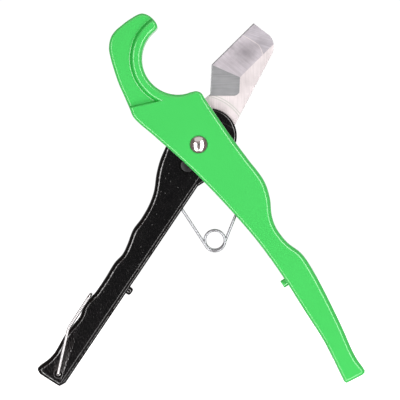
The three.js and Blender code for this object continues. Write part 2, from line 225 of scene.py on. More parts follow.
def distances(places, outline, values):
    """Distance from each place to a closed outline, and the outline's value at the nearest point."""
    starts, ends = outline, np.roll(outline, -1, axis=0)
    spans = ends - starts
    lengths = (spans ** 2).sum(1)
    best = np.full(len(places), 1e9)
    found = np.zeros(len(places))
    for i in range(0, len(places), 2000):
        chunk = places[i:i + 2000, None, :]
        t = (((chunk - starts) * spans).sum(2) / lengths).clip(0, 1)
        gap = np.linalg.norm(chunk - starts - spans * t[:, :, None], axis=2)
        nearest = gap.argmin(1)
        rows = np.arange(len(nearest))
        best[i:i + 2000] = gap[rows, nearest]
        share = t[rows, nearest]
        found[i:i + 2000] = values[nearest] * (1 - share) + np.roll(values, -1)[nearest] * share
    return best, found


def inside(places, outline):
    """Whether each place lies inside a closed outline."""
    x, z = places[:, 0][:, None], places[:, 1][:, None]
    x0, z0 = outline[:, 0], outline[:, 1]
    x1, z1 = np.roll(x0, -1), np.roll(z0, -1)
    crossing = (z0 > z) != (z1 > z)
    with np.errstate(divide="ignore", invalid="ignore"):
        at = x0 + (z - z0) * (x1 - x0) / (z1 - z0)
    return (crossing & (x < at)).sum(1) % 2 == 1


def is_anticlockwise(outline):
    x, z = outline[:, 0], outline[:, 1]
    return (x * np.roll(z, -1) - np.roll(x, -1) * z).sum() > 0


def inward_normals(outline):
    along = np.roll(outline, -1, axis=0) - np.roll(outline, 1, axis=0)
    along /= np.linalg.norm(along, axis=1)[:, None]
    turn = 1 if is_anticlockwise(outline) else -1
    return turn * np.column_stack([-along[:, 1], along[:, 0]])


def rounding_rows(widths, steps, crease):
    """How far each row of a rounded edge's vertices lies from the outline, at each of its points."""
    blend = np.minimum(CREASE_BLEND, widths / 2)
    bend = widths / (1 - math.sin(crease))
    angles = [math.pi / 2 - (math.pi / 2 - crease) * k / steps for k in range(steps)]
    rows = [bend * (1 - math.sin(angle)) for angle in angles]
    rows = [np.minimum(row, widths - blend * 0.6) for row in rows]
    return rows + [widths - blend / 2, widths - blend / 6, widths + blend / 6, widths + blend / 2,
                   widths + blend / 2 + SOFT]


def rounding_drop(gap, widths, crease):
    """How far a rounded edge lies below its face, at a distance from the outline."""
    blend = np.minimum(CREASE_BLEND, widths / 2)
    bend = widths / (1 - math.sin(crease))
    bow = bend * math.cos(crease) - np.sqrt(np.maximum(bend ** 2 - (bend - gap) ** 2, 0))
    near = widths + blend / 2 - gap
    return np.where(near <= 0, 0, np.where(near < blend, math.tan(crease) * near ** 2 / (2 * blend), bow))


def relief(name, outline, radii, half, lines=(), steps=6, crease=CREASE):
    """A closed plate. Its faces stand half(places) from the middle plane, rounded over along the outline.

    lines are lists of points that the mesh follows, where half() changes its slope."""
    inward = inward_normals(outline)
    insets = rounding_rows(radii, steps, crease)
    loops = [outline + inward * inset[:, None] for inset in insets]
    plan, edges = [], []
    for points, closed in [(loop, True) for loop in loops] + [(line, False) for line in lines]:
        first, count = len(plan), len(points)
        plan += [Vector(p) for p in points]
        edges += [(first + i, first + i + 1) for i in range(count - 1)]
        if closed:
            edges.append((first + count - 1, first))
    plan, _, faces, *_ = delaunay_2d_cdt(plan, edges, [], 0, 1e-4)
    plan = np.array([tuple(p) for p in plan])
    faces = np.array(faces)
    faces = faces[inside(plan[faces].mean(1), outline)]
    corners = plan[faces]
    spans = corners[:, 1:] - corners[:, :1]
    flipped = spans[:, 0, 0] * spans[:, 1, 1] < spans[:, 0, 1] * spans[:, 1, 0]
    faces[flipped] = faces[flipped][:, ::-1]

    used, faces = np.unique(faces, return_inverse=True)
    faces = faces.reshape(-1, 3)
    plan = plan[used]
    gap, widths = distances(plan, outline, radii)
    height = np.maximum(half(plan) - rounding_drop(gap, widths, crease), 0.01)

    counts = {}
    for a, b, c in faces:
        for edge in ((a, b), (b, c), (c, a)):
            counts[edge] = counts.get(edge, 0) + 1
    rim_edges = [edge for edge in counts if edge[::-1] not in counts]
    rim = sorted({v for edge in rim_edges for v in edge})
    total = len(plan)
    row_depth = np.maximum(height[rim] - SOFT, height[rim] * 0.5)
    layers = ((plan, -height), (plan, height), (plan[rim], -row_depth), (plan[rim], row_depth))
    vertices = np.vstack([np.column_stack([flat[:, 0], depth, flat[:, 1]]) for flat, depth in layers])
    row = {v: i for i, v in enumerate(rim)}
    sides = []
    for a, b in rim_edges:
        levels = [(a, b), (2 * total + row[a], 2 * total + row[b]),
                  (2 * total + len(rim) + row[a], 2 * total + len(rim) + row[b]), (total + a, total + b)]
        sides += [(p[0], q[0], q[1], p[1]) for p, q in zip(levels[:-1], levels[1:])]
    return mesh_object(name, vertices, [*faces, *(faces[:, ::-1] + total), *sides])


def prism(outline, depth_from, depth_to):
    """A flat-sided cutter through the tool plane."""
    points = np.array(outline, float)
    if not is_anticlockwise(points):
        points = points[::-1]
    n = len(points)
    vertices = [(x, y, z) for y in (depth_from, depth_to) for x, z in points]
    walls = [(i, n + i, n + (i + 1) % n, (i + 1) % n) for i in range(n)]
    return mesh_object("cutter", vertices, [tuple(range(n)), tuple(range(2 * n - 1, n - 1, -1)), *walls])


def turned(name, profile, centre=(0, 0), sides=96):
    """A round piece about Y. Its profile of (radius, y) goes from axis to axis, or closes on itself."""
    x, z = centre
    closed = profile[0][0] > 0
    angles = [2 * math.pi * i / sides for i in range(sides)]
    rings, vertices, faces = [], [], []
    for radius, y in profile:
        if radius == 0:
            rings.append([len(vertices)] * sides)
            vertices.append((x, y, z))
        else:
            rings.append(list(range(len(vertices), len(vertices) + sides)))
            vertices += [(x + radius * math.cos(a), y, z + radius * math.sin(a)) for a in angles]
    following = rings[1:] + rings[:1] if closed else rings[1:]
    for near, far in zip(rings, following):
        for i in range(sides):
            k = (i + 1) % sides
            face = [near[i], near[k], far[k], far[i]]
            faces.append([v for j, v in enumerate(face) if v != face[j - 1]])
    piece = mesh_object(name, vertices, faces)
    volume = sum(face.center.dot(face.normal) * face.area for face in piece.data.polygons)
    if volume < 0:
        piece.data.flip_normals()
    return piece


def disc(radius, depth_from, depth_to, centre=(0, 0), sides=96):
    """A round cutter through the tool plane."""
    profile = [(0, depth_from), (radius, depth_from), (radius, depth_to), (0, depth_to)]
    return turned("cutter", profile, centre, sides)


def ring(name, inner, outer, depth_from, depth_to, centre=(0, 0), edge=0.12):
    """A flat ring with its four edges broken."""
    return turned(name, [
        (inner + edge, depth_from), (outer - edge, depth_from),
        (outer, depth_from + edge), (outer, depth_to - edge),
        (outer - edge, depth_to), (inner + edge, depth_to),
        (inner, depth_to - edge), (inner, depth_from + edge),
    ], centre)


def combine(piece, others, operation):
    """Cut other solids from a piece, join them to it or keep what they share, and delete them."""
    for other in others:
        modifier = piece.modifiers.new("combine", "BOOLEAN")
        modifier.operation = operation
        modifier.solver = "EXACT"
        modifier.object = other
    bpy.context.view_layer.update()
    result = bpy.data.meshes.new_from_object(piece.evaluated_get(bpy.context.evaluated_depsgraph_get()))
    piece.modifiers.clear()
    piece.data = result
    for other in others:
        bpy.data.objects.remove(other)


def swept(name, path, radius, sides=20):
    """A round wire along a list of points, with flat ends."""
    path = [Vector(p) for p in path]
    tangents = [(b - a).normalized() for a, b in zip([path[0]] + path[:-1], path[1:] + [path[-1]])]
    across = tangents[0].orthogonal().normalized()
    vertices, faces = [], []
    for point, tangent in zip(path, tangents):
        across = (across - tangent * across.dot(tangent)).normalized()
        other = tangent.cross(across)
        vertices += [point + radius * (math.cos(a) * across + math.sin(a) * other)
                     for a in (2 * math.pi * i / sides for i in range(sides))]
    for row in range(len(path) - 1):
        for i in range(sides):
            a, b = row * sides + i, row * sides + (i + 1) % sides
            faces.append((a, b, b + sides, a + sides))
    faces.append(tuple(reversed(range(sides))))
    faces.append(tuple(range(len(vertices) - sides, len(vertices))))
    return mesh_object(name, vertices, faces)


def face_centres(piece):
    return np.array([(face.center.x, face.center.z) for face in piece.data.polygons])


def squareness(piece):
    """How squarely each face looks to the front or the back, from 0 to 1."""
    return np.array([abs(face.normal.y) for face in piece.data.polygons])


def finished(piece, materials, node, body, kinds=None, sharp=30):
    """Bring a piece into the row frame, shade it, and let it stand for its CAD node on a body.

    kinds holds the number of each face's material, for a piece with more than one."""
    for material in materials:
        piece.data.materials.append(material)
    if kinds is not None:
        piece.data.polygons.foreach_set("material_index", kinds.astype(np.int32))
    piece.data.transform(TOOL)
    piece.data.shade_smooth()
    piece.data.set_sharp_from_angle(angle=math.radians(sharp))
    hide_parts(node)
    if body:
        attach(piece, body)


# ---- Materials ----

class Shader:
    """A node material under construction, with its Principled shader."""

    def __init__(self, name, colour, roughness, metallic=0.0, **settings):
        self.material = bpy.data.materials.new(name)
        self.material.use_nodes = True
        self.tree = self.material.node_tree
        self.main = self.tree.nodes["Principled BSDF"]
        self.main.inputs["Base Color"].default_value = (*colour, 1)
        self.main.inputs["Roughness"].default_value = roughness
        self.main.inputs["Metallic"].default_value = metallic
        for socket, value in settings.items():
            self.main.inputs[socket.replace("_", " ")].default_value = value
        self.place = self.tree.nodes.new("ShaderNodeTexCoord").outputs["Object"]

    def node(self, kind, links=None, **values):
        node = self.tree.nodes.new(kind)
        for key, value in values.items():
            setattr(node, key, value)
        for socket, source in (links or {}).items():
            target = node.inputs[socket]
            if isinstance(source, bpy.types.NodeSocket):
                self.tree.links.new(source, target)
            else:
                target.default_value = source
        return node

    def noise(self, scale, detail, stretch=None, turn=0):
        """Noise of scale waves per metre. stretch lengthens it along axes turned about Y, in degrees."""
        place = self.place
        if stretch:
            mapping = self.node("ShaderNodeMapping", {
                "Vector": place, "Rotation": (0, math.radians(turn), 0), "Scale": stretch},
                vector_type="TEXTURE")
            place = mapping.outputs["Vector"]
        noise = self.node("ShaderNodeTexNoise", {"Vector": place, "Scale": scale, "Detail": detail})
        return noise.outputs["Fac"]

    def ranged(self, value, low, high, out_low, out_high):
        node = self.node("ShaderNodeMapRange", {
            "Value": value, "From Min": low, "From Max": high, "To Min": out_low, "To Max": out_high})
        return node.outputs["Result"]

    def maths(self, operation, first, second=0.0):
        return self.node("ShaderNodeMath", {0: first, 1: second}, operation=operation).outputs[0]

    def vector_maths(self, operation, first, second=(0, 0, 0)):
        node = self.node("ShaderNodeVectorMath", {0: first, 1: second}, operation=operation)
        return node.outputs["Value" if operation == "LENGTH" else "Vector"]

    def mixed(self, share, first, second):
        """A colour between two others, each a colour or a socket."""
        first, second = (c if isinstance(c, bpy.types.NodeSocket) else (*c, 1) for c in (first, second))
        return self.node("ShaderNodeMix", {0: share, 6: first, 7: second}, data_type="RGBA").outputs[2]

    def tint(self, share, colour):
        """Mix a colour over what is there so far."""
        before = self.main.inputs["Base Color"].links[0].from_socket
        self.colour(self.mixed(share, before, colour))

    def colour(self, source):
        self.tree.links.new(source, self.main.inputs["Base Color"])

    def roughness(self, source):
        self.tree.links.new(source, self.main.inputs["Roughness"])

    def bump(self, *layers):
        """Bump layers, each (height, strength, distance in metres)."""
        normal = None
        for height, strength, distance in layers:
            links = {"Height": height, "Strength": strength, "Distance": distance}
            if normal:
                links["Normal"] = normal
            normal = self.node("ShaderNodeBump", links).outputs["Normal"]
        self.tree.links.new(normal, self.main.inputs["Normal"])


def green_paint(name, dark, light, specular):
    shader = Shader(name, dark, 0.12, Specular_IOR_Level=specular)
    shader.colour(shader.mixed(shader.noise(18, 3), dark, light))
    shader.roughness(shader.ranged(shader.noise(60, 3), 0.3, 0.7, 0.1, 0.15))
    shader.bump((shader.noise(900, 1), 0.1, 0.0002), (shader.noise(2600, 2), 0.05, 0.0001))
    return shader.material


def black_edge_paint():
    """The duller paint on the black casting's rounded edges."""
    shader = Shader("black_paint_on_edges", (0.002, 0.002, 0.002), 0.2, Specular_IOR_Level=0.25)
    shader.bump((shader.noise(2600, 1), 0.1, 0.0001))
    return shader.material


def black_paint():
    """Glossy black with a fine grain and a few grey specks."""
    dark = (0.0022, 0.0022, 0.0025)
    shader = Shader("black_paint", dark, 0.12, Specular_IOR_Level=1.0, IOR=1.6)
    speck = shader.node("ShaderNodeTexVoronoi", {"Vector": shader.place, "Scale": 420.0})
    near = shader.ranged(speck.outputs["Distance"], 0.1, 0.22, 1.0, 0.0)
    chosen = shader.ranged(shader.noise(700, 0), 0.62, 0.68, 0.0, 1.0)
    shader.colour(shader.mixed(shader.maths("MULTIPLY", near, chosen), dark, (0.09, 0.09, 0.09)))
    shader.roughness(shader.ranged(shader.noise(220, 2), 0.3, 0.7, 0.11, 0.14))
    grain = shader.noise(1300, 1, stretch=(1.0, 1.0, 2.0), turn=12)
    pits = shader.ranged(grain, 0.35, 0.9, 0.0, 1.0)
    shader.bump((pits, 0.18, 0.0003), (shader.noise(2600, 1), 0.12, 0.0001))
    return shader.material


def brushed_steel(name, colour, turn, contrast):
    """Ground steel with fine lines along Z, turned about Y, in degrees."""
    shader = Shader(name, colour, 0.5, 1.0)
    lines = shader.noise(1300, 3, stretch=(1.0, 5.0, 20.0), turn=turn)
    patches = shader.noise(140, 4)
    marks = shader.maths("ADD", lines, patches)
    dark = tuple(c * (1 - contrast) for c in colour)
    light = tuple(min(1.0, c * (1 + contrast)) for c in colour)
    shader.colour(shader.mixed(shader.ranged(marks, 0.7, 1.3, 0.0, 1.0), dark, light))
    shader.roughness(shader.ranged(patches, 0.3, 0.7, 0.46, 0.54))
    shader.bump((lines, 0.25, 0.00006))
    return shader


def darkened_oval(shader, centre, size, turn, colour):
    """Darken an oval area with a ragged border. size holds its half axes in mm."""
    place = TOOL @ Vector((centre[0], 0, centre[1]))
    oval = shader.node("ShaderNodeMapping", {
        "Vector": shader.place, "Location": place, "Rotation": (0, math.radians(turn), 0),
        "Scale": (size[0] / 1000, 1.0, size[1] / 1000)}, vector_type="TEXTURE")
    reach = shader.vector_maths("LENGTH", oval.outputs["Vector"])
    ragged = shader.maths("ADD", reach, shader.noise(350, 4))
    shader.tint(shader.ranged(ragged, 0.5, 1.6, 1.0, 0.0), colour)


def scraped(shader, radii, width, colour):
    """Thin arcs about the pivot, where the blade rubs past the casting. Sizes in mm."""
    from_pivot = shader.vector_maths("SUBTRACT", shader.place, tuple(PIVOT))
    flat = shader.vector_maths("MULTIPLY", from_pivot, (1, 0, 1))
    reach = shader.vector_maths("LENGTH", flat)
    for radius in radii:
        gap = shader.maths("ABSOLUTE", shader.maths("SUBTRACT", reach, radius / 1000))
        shader.tint(shader.ranged(gap, 0.3 * width / 1000, width / 1000, 1.0, 0.0), colour)


def blade_plate():
    """The blade's flat, with two arcs where it rubs past the casting."""
    shader = brushed_steel("blade_plate", (0.67, 0.625, 0.633), 0, 0.11)
    scraped(shader, (28.9, 30.2), 0.35, (0.5, 0.52, 0.48))
    return shader.material


def blade_bevel():
    """The wide bevel, darker in an oval in its middle."""
    shader = brushed_steel("blade_bevel", (0.528, 0.498, 0.536), -50, 0.14)
    darkened_oval(shader, (26.6, 54.2), (10.5, 6.5), -20, (0.33, 0.31, 0.335))
    return shader.material


def smooth_steel(name, colour, roughness, scuff):
    """Plain steel whose roughness varies by scuff to both sides."""
    shader = Shader(name, colour, roughness, 1.0)
    shader.roughness(shader.ranged(shader.noise(500, 3), 0.3, 0.7, roughness - scuff, roughness + scuff))
    return shader.material


def nylon():
    shader = Shader("nylon", (0.05, 0.13, 0.42), 0.5)
    shader.bump((shader.noise(1500, 2), 0.1, 0.0001))
    return shader.material


GREEN = green_paint("green_paint", (0.048, 0.447, 0.085), (0.055, 0.484, 0.098), 0.85)
# painted shade in the hook's step: a darker, less glossy copy of the green paint
SHADED_STEP_GREEN = green_paint("green_paint_with_painted_shade_in_step", (0.019, 0.37, 0.047), (0.023, 0.39, 0.052), 0.3)
BLACK = black_paint()
BLACK_EDGE = black_edge_paint()
PLATE = blade_plate()
BEVEL = blade_bevel()
# painted shade: a darker copy of the ground steel for the lower bevel and the thin edge strip
SHADED_LOWER_BEVEL = brushed_steel("blade_lower_bevel_with_painted_shade", (0.286, 0.292, 0.302), 90, 0.14).material
TIP_BEVEL = brushed_steel("blade_tip_bevel", (0.491, 0.47, 0.51), -72, 0.16).material
MIRROR = smooth_steel("polished_steel", (0.8, 0.77, 0.75), 0.18, 0.04)
WIRE = smooth_steel("spring_wire", (0.4, 0.41, 0.43), 0.32, 0.05)
BRIGHT_WIRE = smooth_steel("bail_wire", (0.5, 0.49, 0.495), 0.1, 0.03)
ZINC = smooth_steel("zinc_steel", (0.6, 0.62, 0.64), 0.3, 0.06)
DARK = smooth_steel("dark_steel", (0.045, 0.046, 0.047), 0.36, 0.06)
NYLON = nylon()


# ---- The hooked body ----

HOOK_EDGE_LINE = ((-39.3, 21.1), (-21.6, 25.1))  # the straight lower edge of the hook's step
STEP_WALL = 1.5  # width of the steep wall along that edge
RAMP_START, RAMP_STOP = 0.4, 0.08  # shares of a ramp that round its upper and its lower end
SHALLOW_WIDTH, SHALLOW_SLOPE = 0.35, 0.3  # the strips above and below the ramp round the cradle
RAMP_RADIUS = RIM_RADIUS + SHALLOW_WIDTH
SHADE_FROM, SHADE_TO = 0.3, 0.93  # shares of the step's depth that get the darker paint as painted shade
SHADE_SQUARENESS = 0.2  # below this, walls keep the plain paint without painted shade


def body_outline():
    hook_back = smooth([
        (-25.0, 66.9), (-24.1, 68.3), (-24.3, 69.9), (-25.4, 71.8), (-28.4, 75), (-33.4, 76.7), (-40.8, 73),
        (-45.3, 69.6), (-49, 66.3), (-51.4, 62.6), (-52.5, 56.5), (-51.6, 51), (-47.1, 36.5), (-43.5, 28.3),
        (-40.1, 20.5),
    ])
    inner_edge = smooth([
        (-40.1, 20.5), (-38.2, 16.1), (-33.7, 11.5), (-28.4, 7.1), (-10.6, -8.5), (2.9, -21.5), (21.4, -41.2),
        (35.8, -58.3), (50.2, -78.6), (62.2, -97.4), (73.7, -115.6), (84.2, -136.7),
    ])
    end = straight([
        (84.2, -136.7), (84.8, -138.1), BODY_FOOT, (95.5, -134.3), (96.8, -133), (96.9, -131.7),
        (95.6, -129.6),
    ], 0.7)
    outer_edge = smooth([
        (95.6, -129.6), (92.3, -124.9), (89.8, -120.3), (84.1, -107.3), (76.8, -92.2), (69.5, -78.1),
        (62.2, -66.1), (58.9, -62.4), (52.1, -57.3), (48.2, -52.9), (44.9, -47.8), (42.7, -41.2),
        (41.6, -31.1), (38.2, -21.1), (28.2, -7.6), (18.3, 5.7),
    ])
    neck = straight([(18.3, 5.7), (3.4, 27.2)])
    cradle_corner = smooth([(3.4, 27.2), (1.6, 30), (-1.2, 31.2), (-5.1, 30.5)])
    cradle = arc(PIPE_CENTRE, PIPE_RADIUS, -76, -231.5)
    return joined([
        (hook_back, 1.7), (inner_edge, 1.6), (end, 1.9), (outer_edge, 2.6), (neck, 2.3),
        (cradle_corner, 1.4), (cradle, 2.2),
    ])


def eased_ramp(t):
    """A ramp from 0 to 1, straight between its two rounded ends."""
    t = np.clip(t, 0, 1)
    pace = 1 / (1 - (RAMP_START + RAMP_STOP) / 2)
    return np.where(
        t < RAMP_START, pace * t ** 2 / (2 * RAMP_START),
        np.where(t > 1 - RAMP_STOP, 1 - pace * (1 - t) ** 2 / (2 * RAMP_STOP), pace * (t - RAMP_START / 2)))


def hook_step_share(places):
    """How far down the hook's step the places lie, from 0 on the face to 1 on its floor."""
    from_pipe = np.linalg.norm(places - np.array(PIPE_CENTRE), axis=1)
    width = RIM_FOOT_RADIUS + SHALLOW_WIDTH - RIM_RADIUS
    shallow = SHALLOW_SLOPE * width / HOOK_STEP
    even = np.clip((from_pipe - RIM_RADIUS) / width, 0, 1)
    ramp = eased_ramp((from_pipe - RAMP_RADIUS) / (RIM_FOOT_RADIUS - RAMP_RADIUS))
    around = shallow * even + (1 - shallow) * ramp
    above = eased_ramp(left_of(places, HOOK_EDGE_LINE) / STEP_WALL)
    return np.minimum(around, above)


def body_half(places):
    return BODY_HALF - HOOK_STEP * hook_step_share(places)


def hook_creases():
    """Lines that the mesh follows across the hook's step."""
    shares = (0, 0.08, 0.16, 0.24, 0.32, 0.4, 0.66, 0.92, 0.96, 1)
    width = RIM_FOOT_RADIUS - RAMP_RADIUS
    radii = [RIM_RADIUS + SHALLOW_WIDTH * s for s in (-0.4, 0, 0.3, 0.7)]
    radii += [RAMP_RADIUS + width * s for s in shares]
    radii += [RIM_FOOT_RADIUS + SHALLOW_WIDTH * s for s in (0.3, 0.7, 1, 1.4)]
    arcs = [arc(PIPE_CENTRE, radius, 95, 290, 1.0) for radius in radii]
    lines = [beside(HOOK_EDGE_LINE, STEP_WALL * s, 8) for s in (-0.5, *shares, 1.5)]
    return arcs + lines


def blade_sweep():
    """The slot that the blade closes into."""
    closed_edge = [away_from_pipe(rotated(p, CLOSING_ANGLE), 4 * CLEARANCE)
                   for p in (BLADE_SHOULDER, BLADE_HEEL, BLADE_VERTEX, BLADE_TIP)]
    tip_path = arc((0, 0), BLADE_SWEEP_RADIUS, 120, 55, 2.0)
    return prism([(0, 0), *closed_edge, *tip_path], -BLADE_SLOT_HALF, BLADE_SLOT_HALF)


def body_channels():
    """The two channels along the handle's inner edge."""
    upper = [
        (10, -10), (25.7, -9.3), (33, -18.5), (37.2, -26), (38.6, -33), (39.9, -42.2), (42.2, -49.6),
        (46, -55.3), (50.5, -60.3), (41.5, -66.3), (35, -70.6), (5, -45), (-15, -20),
    ]
    lower = [
        (49, -92.7), (56.2, -88), (65.5, -81.9), (73.6, -94), (80.9, -108.7), (86.2, -121.2), (78.4, -125),
        (70, -130),
    ]
    return [prism(outline, -BODY_SLOT_HALF, BODY_SLOT_HALF) for outline in (upper, lower)]


def peg(base, direction, height, edge):
    """A round peg on a handle's edge, with its tip rounded."""
    tip = [(PEG_RADIUS - edge * (1 - math.sin(a)), height - edge * (1 - math.cos(a)))
           for a in (math.pi / 2 * k / 6 for k in range(6, -1, -1))]
    piece = turned("peg", [(0, -PEG_ROOT), (PEG_RADIUS, -PEG_ROOT), *tip, (0, height)], sides=64)
    way = Vector((direction[0], 0, direction[1])).to_track_quat("Y", "Z")
    piece.data.transform(Matrix.Translation((base[0], 0, base[1])) @ way.to_matrix().to_4x4())
    return piece


def make_hook_body():
    outline, radii = body_outline()
    piece = relief("hook_body_casting", outline, radii, body_half, hook_creases())
    combine(piece, [peg(base=(51.4, -80.1), direction=(-0.836, -0.549), height=3, edge=0.5)], "UNION")
    combine(piece, [
        disc(HUB_POCKET_RADIUS, -BODY_SLOT_HALF, BODY_SLOT_HALF, sides=160),
        blade_sweep(),
        *body_channels(),
        disc(BOLT_RADIUS + CLEARANCE, -BODY_HALF - 1, BODY_HALF + 1),
        disc(BOLT_HEAD_RADIUS + CLEARANCE, -BODY_HALF - 1, -BODY_HALF + HEAD_RECESS),
    ], "DIFFERENCE")
    # the slope of the hook's step gets the darker green as painted shade
    share = hook_step_share(face_centres(piece))
    painted_shade = (share > SHADE_FROM) & (share < SHADE_TO) & (squareness(piece) > SHADE_SQUARENESS)
    finished(piece, [GREEN, SHADED_STEP_GREEN], "hook_body", "body", painted_shade)


# ---- The blade handle ----

INNER_EDGE_LINE = ((-77.8, -139.2), (-0.6, -24.4))
LIP_WIDTH = 2.2  # of the low lip along the inner edge
LIP_STEP = 0.18
LIP_SLOPE = 0.5  # width of the slope between the lip and the face
EDGE_SQUARENESS = math.cos(math.radians(24))  # below this, faces count as edges


def handle_outline():
    outer_edge = smooth([
        (-19.3, -1.1), (-22.5, -8.5), (-24.7, -16.7), (-26.3, -27.3), (-29, -34.9), (-33.5, -42.9),
        (-38.4, -49.6), (-41.9, -58.5), (-44.6, -63.9), (-49.1, -68.8), (-54.9, -78.2), (-61.1, -87),
        (-64.6, -90.5), (-67.5, -94.7), (-69.6, -100.3), (-74.8, -106.7), (-78.2, -111), (-84.2, -121.3),
        (-87.6, -125.1), (-93.2, -129.4), (-94.3, -131.1), (-92.9, -133.9),
    ])
    end = straight([(-92.9, -133.9), (-82.5, -140.5), HANDLE_FOOT, INNER_EDGE_LINE[0]], 0.7)
    inner_edge = straight([*INNER_EDGE_LINE, (3, -22.1)], 1.0)
    hub_bottom = smooth([(3, -22.1), (12.8, -17), (18.6, -9.6)])
    hub_bulge = arc((6, 5.1), 16.3, -20, 100)
    hub_top = smooth([(3.17, 21.15), (-5, 19.4), (-13.5, 13.5), (-18.4, 6), (-19.3, -1.1)])
    return joined([
        (outer_edge, 2.6), (end, 1.7), (inner_edge, 1.1), (hub_bottom, 1.4), (hub_bulge, 1.4), (hub_top, 1.5),
    ])


def handle_half(places):
    from_face = LIP_WIDTH + LIP_SLOPE - left_of(places, INNER_EDGE_LINE)
    return HANDLE_HALF - LIP_STEP * eased_ramp(from_face / LIP_SLOPE)


def lip_lines():
    """Lines that the mesh follows down the slope to the lip."""
    shares = (-0.3, 0, 0.08, 0.3, 0.6, 0.8, 1, 1.3)
    return [beside(INNER_EDGE_LINE, LIP_WIDTH + LIP_SLOPE * s, 6) for s in shares]


def tang_pocket():
    """The pocket in the hub that the blade's tang sits in."""
    outline = [
        (-13.8, -11), (-10.4, 6.4), (-3.8, 17.6), (5, 31), (33, 33), (13.4, -5.4), (7.8, -16.4), (4, -19.4),
        (-6.6, -19.5), (-12.1, -16.8),
    ]
    return prism(outline, -BLADE_SLOT_HALF, BLADE_SLOT_HALF)


def handle_channels():
    """The two channels of the handle. The upper one takes the spring's arm."""
    upper = [
        (-22.8, -27.4), (-25.9, -35.7), (-30.5, -44), (-35.3, -50.8), (-39, -59.9), (-42, -66),
        (-46.3, -70.3), (-36, -77.2), (-28, -82.5), (12, -27.4),
    ]
    lower = [
        (-55.4, -85.6), (-62.2, -92.6), (-64.8, -96.4), (-67, -101.6), (-72.4, -108.4), (-75.6, -112.6),
        (-80.2, -120.6), (-80.2, -122.7), (-70.9, -129), (-62, -135), (-37, -98),
    ]
    return [prism(outline, -SPRING_SLOT_HALF, SPRING_SLOT_HALF) for outline in (upper, lower)]


def bail_bore():
    """The cross hole for the bail, countersunk at both faces."""
    countersink = 1.2
    broken = 0.35
    bore = BAIL_WIRE + CLEARANCE
    wide = bore + countersink
    half = [
        (bore, HANDLE_HALF - countersink), (wide, HANDLE_HALF - 0.1), (wide + broken, HANDLE_HALF),
        (wide + broken, HANDLE_HALF + 0.5), (0, HANDLE_HALF + 0.5),
    ]
    other_half = [(radius, -y) for radius, y in reversed(half)]
    return turned("cutter", other_half + half, BAIL_PIVOT, 64)


def make_blade_handle():
    outline, radii = handle_outline()
    piece = relief("blade_handle_casting", outline, radii, handle_half, lip_lines(), crease=BLACK_CREASE)
    combine(piece, [peg(base=(-41.3, -85), direction=(0.83, -0.558), height=2.6, edge=1.5)], "UNION")
    outside = HANDLE_HALF + 1
    combine(piece, [
        tang_pocket(),
        *handle_channels(),
        disc(BUSH_RADIUS + CLEARANCE, -outside, outside),
        disc(SCREW_RADIUS + CLEARANCE, -outside, outside, BLADE_SCREW, 48),
        disc(SCREW_RECESS_RADIUS, -outside, -SCREW_SEAT, BLADE_SCREW),
        disc(SCREW_RECESS_RADIUS, SCREW_SEAT, outside, BLADE_SCREW),
        bail_bore(),
    ], "DIFFERENCE")
    edges = squareness(piece) < EDGE_SQUARENESS
    finished(piece, [BLACK, BLACK_EDGE], "blade_handle", "cutter", edges)


# ---- The blade ----

BLADE_TIP = (32.1, 71.2)
BLADE_VERTEX = (7.5, 46.9)
BLADE_HEEL = (6.7, 29.6)
BLADE_SHOULDER = (3.6, 26.8)
BLADE_NOSE = (39, 65.8)
BLADE_SPINE = ((41.9, 51.1), (6.8, -16))
UPPER_EDGE = (BLADE_VERTEX, BLADE_TIP)
LOWER_EDGE = (BLADE_HEEL, BLADE_VERTEX)
EDGE_STRIP = 0.6  # width of the thin second bevel along the cutting edges
EDGE_LEAST = 0.03  # half the thickness left at the very edge
GRIND_STEP = 0.06  # width of the wall where the grinding stops
BEVEL_CORNER = (24.1, 39.4)  # where the two ground bevels end together
FOOT_CORNER_RADIUS = 3.6
FOOT_CORNER = (BEVEL_CORNER[0] - FOOT_CORNER_RADIUS, BEVEL_FOOT + FOOT_CORNER_RADIUS)
TIP_CURVE = ((24, 64.9), (32.1, 60.2), (35.2, 57.8), (37.1, 53.3), (37.4, 51))
TIP_HIGHLIGHT_WIDTH = 0.4  # width of the painted highlight between two grinds: a strip that keeps the plate's brighter steel


def tip_curve(offset=0.0):
    """The border of the tip's grind, moved towards the tip."""
    points = smooth(TIP_CURVE, 1.0)
    along = np.gradient(points, axis=0)
    along /= np.linalg.norm(along, axis=1)[:, None]
    return points + offset * np.column_stack([-along[:, 1], along[:, 0]])


def blade_outline():
    edges = straight([BLADE_SHOULDER, (4.4, 27.9), BLADE_HEEL, BLADE_VERTEX, BLADE_TIP, BLADE_NOSE], 1.2)
    end = smooth([BLADE_NOSE, (41.8, 63.6), (43.7, 59.6), (43.5, 54.4), BLADE_SPINE[0]])
    spine = straight(BLADE_SPINE, 2.0)
    tang = smooth([
        BLADE_SPINE[1], (3.4, -18.4), (-6.4, -18.5), (-11.4, -16), (-12.9, -11), (-9.5, 6), (-3, 17),
    ], 1.2)
    neck = np.array([BLADE_SHOULDER]) - 0.01
    return joined([(edges, 0.02), (end, 0.15), (spine, 0.15), (tang, 0.15), (neck, 0.15)])


def from_edges(places):
    """How far places lie behind the upper and the lower cutting edge."""
    return -left_of(places, UPPER_EDGE), -left_of(places, LOWER_EDGE)


def is_ground(places):
    """Whether places lie above the foot of the ground bevels, with its rounded corner."""
    x, z = places[:, 0], places[:, 1]
    corner_x, corner_z = FOOT_CORNER
    past_corner = (x > corner_x) & (z < corner_z)
    beyond = np.hypot(x - corner_x, z - corner_z) > FOOT_CORNER_RADIUS + GRIND_STEP / 2
    return (z > BEVEL_FOOT - GRIND_STEP / 2) & ~(past_corner & beyond)


